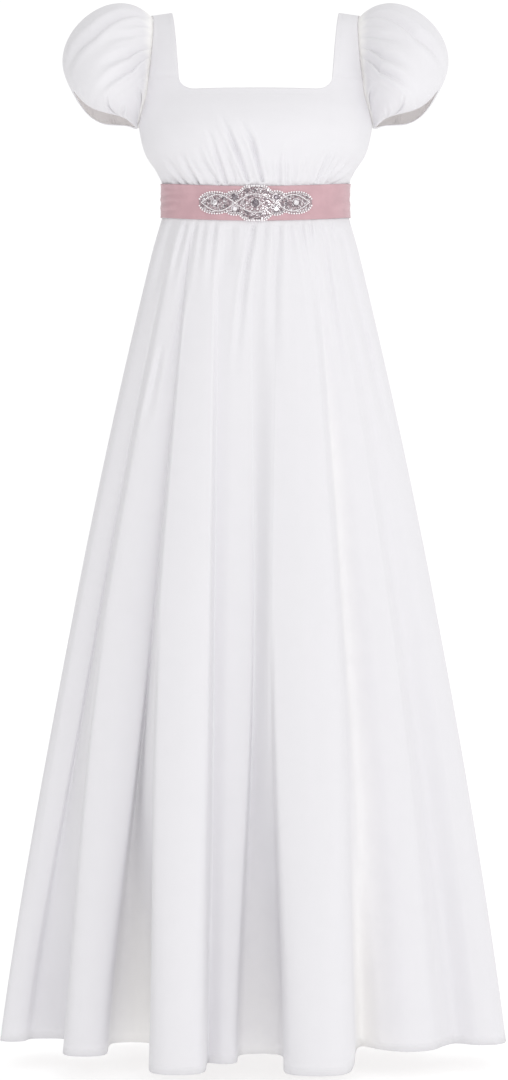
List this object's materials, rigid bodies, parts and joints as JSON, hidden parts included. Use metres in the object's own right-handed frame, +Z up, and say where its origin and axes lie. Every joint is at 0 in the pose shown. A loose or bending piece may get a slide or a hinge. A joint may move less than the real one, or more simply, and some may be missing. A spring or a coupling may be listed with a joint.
{
  "type": "regency gown",
  "caption": "High-waisted floor-length gown with a square neck, short puff sleeves, a full skirt in deep folds and a satin sash with a jewelled applique, hollow as worn.",
  "frame": {"origin": "midway between the two shoulder tops, where the wearer's shoulders carry the gown", "axes": "+Z up, -Y out of the gown's front, +X to the wearer's left"},
  "size_m": [0.7067, 0.5273, 1.4592],
  "materials": {
    "cloth": "soft matt white jersey",
    "sash_satin": "dusty pink satin",
    "silver": "silver settings and beads",
    "crystal": "cut clear stones"
  },
  "bodies": {
    "root": {"bodice_front": "cloth", "bodice_back": "cloth", "sleeve_left": "cloth", "sleeve_right": "cloth", "skirt_front": "cloth", "skirt_back": "cloth", "sash": "sash_satin", "applique": "silver", "stone_upper_left": "crystal", "stone_lower_left": "crystal", "stone_upper_right": "crystal", "stone_lower_right": "crystal", "stone_left_oval": "crystal", "stone_centre": "crystal", "stone_right_oval": "crystal"}
  },
  "joints": []
}
